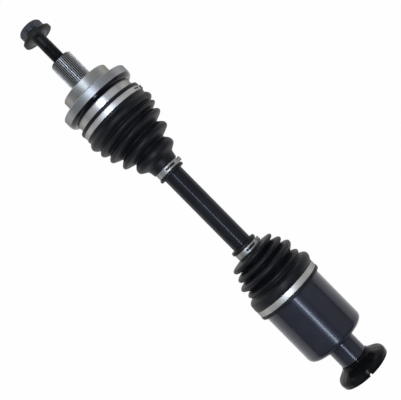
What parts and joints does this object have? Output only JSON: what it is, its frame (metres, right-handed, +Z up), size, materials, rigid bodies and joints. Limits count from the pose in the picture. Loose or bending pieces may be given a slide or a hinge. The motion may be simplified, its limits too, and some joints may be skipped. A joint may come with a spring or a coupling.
{
  "type": "cv axle",
  "caption": "Drive axle with a ball joint behind a splined hub stub, a round bar, a tripod joint in a can with a splined neck, and bellows boots held by clamp bands.",
  "frame": {"origin": "on the axle's axis, in the plane of the shoulder that the wheel hub seats on", "axes": "+X along the axle from the hub bolt to the dust shield, +Z up, +Y to the left of someone who looks along +X"},
  "size_m": [0.5857, 0.099, 0.099],
  "materials": {
    "machined_steel": "turned bright, with a black rounded back behind the flange",
    "bolt_black": "black oxide",
    "hard_steel": "ground and greased",
    "ball_steel": "polished",
    "boot_rubber": "satin moulded",
    "clamp_steel": "bright stainless band",
    "bar_paint": "semi-gloss black paint",
    "can_paint": "semi-gloss black paint",
    "shield_plastic": "gloss moulded"
  },
  "bodies": {
    "outer_housing": {"outer_joint_housing": "machined_steel", "hub_bolt": "bolt_black", "outer_boot": "boot_rubber", "outer_boot_large_clamp": "clamp_steel"},
    "outer_cage": {"outer_cage": "hard_steel", "outer_ball_1": "ball_steel", "outer_ball_2": "ball_steel", "outer_ball_3": "ball_steel", "outer_ball_4": "ball_steel", "outer_ball_5": "ball_steel", "outer_ball_6": "ball_steel"},
    "shaft": {"axle_bar": "bar_paint", "outer_inner_race": "hard_steel", "outer_race_circlip": "hard_steel", "outer_boot_small_clamp": "clamp_steel", "tripod_spider": "hard_steel", "spider_circlip": "hard_steel", "spider_stop_ring": "hard_steel", "roller_washer_1": "hard_steel", "roller_washer_2": "hard_steel", "roller_washer_3": "hard_steel", "roller_snap_ring_1": "hard_steel", "roller_snap_ring_2": "hard_steel", "roller_snap_ring_3": "hard_steel", "inner_boot_small_clamp": "clamp_steel"},
    "roller_1": {"tripod_roller_1": "ball_steel", "roller_needles_1": "ball_steel"},
    "roller_2": {"tripod_roller_2": "ball_steel", "roller_needles_2": "ball_steel"},
    "roller_3": {"tripod_roller_3": "ball_steel", "roller_needles_3": "ball_steel"},
    "inner_boot": {"inner_boot": "boot_rubber"},
    "inner_housing": {"inner_joint_housing": "can_paint", "inner_boot_large_clamp": "clamp_steel", "tripod_wire_ring": "hard_steel", "can_plug": "hard_steel", "dust_shield": "shield_plastic"}
  },
  "joints": [
    {"name": "outer_bend", "type": "hinge", "parent": "outer_housing", "child": "shaft", "pos_m": [0.033, 0, 0], "axis": [0, 0, 1], "range_deg": [-40, 40], "deforming": ["outer_boot"]},
    {"name": "cage_tilt", "type": "hinge", "parent": "outer_housing", "child": "outer_cage", "pos_m": [0.033, 0, 0], "axis": [0, 0, 1], "range_deg": [-20, 20]},
    {"name": "inner_bend", "type": "hinge", "parent": "shaft", "child": "inner_boot", "pos_m": [0.385, 0, 0], "axis": [0, 1, 0], "range_deg": [-15, 15], "deforming": ["inner_boot"]},
    {"name": "plunge", "type": "slide", "parent": "inner_boot", "child": "inner_housing", "axis": [1, 0, 0], "range_m": [-0.012, 0.012]},
    {"name": "roller_1_spin", "type": "hinge", "parent": "shaft", "child": "roller_1", "pos_m": [0.385, 0, 0.022], "axis": [0, 0, 1], "range_deg": [-46, 46]},
    {"name": "roller_2_spin", "type": "hinge", "parent": "shaft", "child": "roller_2", "pos_m": [0.385, -0.01905, -0.011], "axis": [0, -0.866, -0.5], "range_deg": [-46, 46]},
    {"name": "roller_3_spin", "type": "hinge", "parent": "shaft", "child": "roller_3", "pos_m": [0.385, 0.01905, -0.011], "axis": [0, 0.866, -0.5], "range_deg": [-46, 46]}
  ],
  "couplings": [
    {"joint": "cage_tilt", "follows": "outer_bend", "ratio": 0.5},
    {"joint": "roller_1_spin", "follows": "plunge", "rad_per_m": -66.667},
    {"joint": "roller_2_spin", "follows": "plunge", "rad_per_m": -66.667},
    {"joint": "roller_3_spin", "follows": "plunge", "rad_per_m": -66.667}
  ]
}
